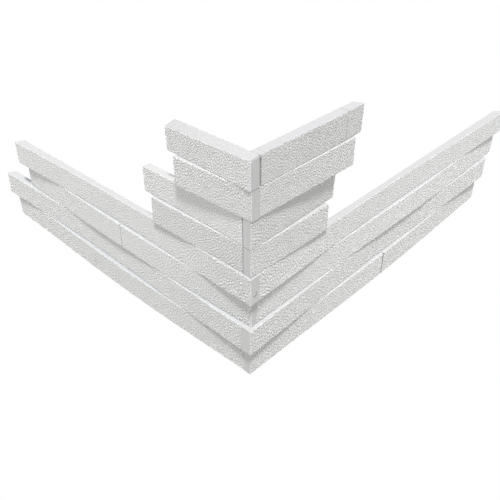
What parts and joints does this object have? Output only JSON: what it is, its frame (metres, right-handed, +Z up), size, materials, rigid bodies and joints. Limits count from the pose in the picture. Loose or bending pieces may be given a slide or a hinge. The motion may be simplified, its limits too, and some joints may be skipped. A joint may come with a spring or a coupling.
{
  "type": "marble cladding corner piece",
  "caption": "L-shaped outside corner of stacked white marble strips with wavy rough faces, interlocked at the corner, to clad the arris of a wall.",
  "frame": {"origin": "the wall's arris, where the two back planes meet, at the level of the lowest bed", "axes": "+Z up along the arris; the right arm runs along +X and its wavy face looks to -Y; the left arm runs along +Y and its wavy face looks to -X"},
  "size_m": [0.6455, 0.5632, 0.3],
  "materials": {
    "marble": "rough"
  },
  "bodies": {
    "root": {"course_1_left_inner": "marble", "course_1_left_outer": "marble", "course_1_right_inner": "marble", "course_1_right_outer": "marble", "course_2_left": "marble", "course_2_right": "marble", "course_3_left_inner": "marble", "course_3_left_outer": "marble", "course_3_right": "marble", "course_4_left": "marble", "course_4_right": "marble", "course_5_left": "marble", "course_5_right": "marble", "course_6_left": "marble", "course_6_right": "marble", "course_7_left": "marble", "course_7_right": "marble", "course_8_left": "marble", "course_8_right_inner": "marble", "course_8_right_outer": "marble"}
  },
  "joints": []
}
